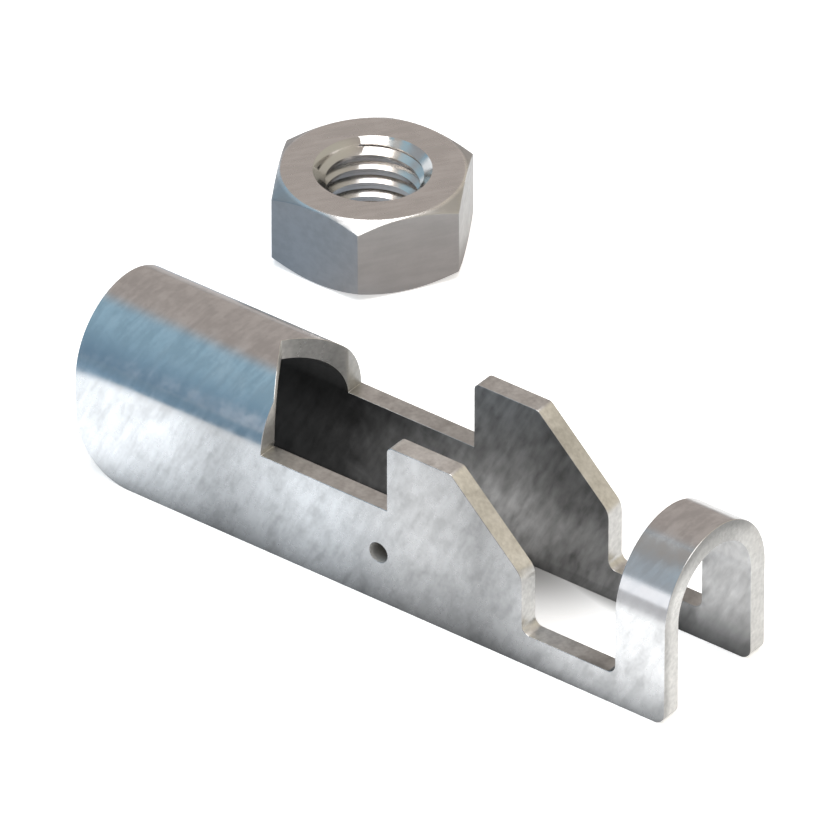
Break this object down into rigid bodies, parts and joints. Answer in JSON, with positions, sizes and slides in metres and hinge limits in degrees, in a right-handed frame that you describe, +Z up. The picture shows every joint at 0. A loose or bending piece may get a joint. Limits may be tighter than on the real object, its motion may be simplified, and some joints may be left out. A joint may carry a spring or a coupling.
{
  "type": "toggle anchor",
  "caption": "Toggle anchor for hollow walls: a channel folded from one zinc-coated sheet, with a rounded hood, upright ears and an arch, and its hex nut lying beside it.",
  "frame": {"origin": "on the floor, in the middle of the box round body and nut", "axes": "+X along the body from its hood to its arch, +Y from the body towards the nut, +Z up, along the nut's thread"},
  "size_m": [0.0762, 0.053, 0.0169],
  "materials": {
    "galvanised_sheet": "zinc coated, mottled and streaked, satin",
    "nut_steel": "zinc coated, brushed, satin"
  },
  "bodies": {
    "root": {"toggle_body": "galvanised_sheet", "hex_nut": "nut_steel"}
  },
  "joints": []
}
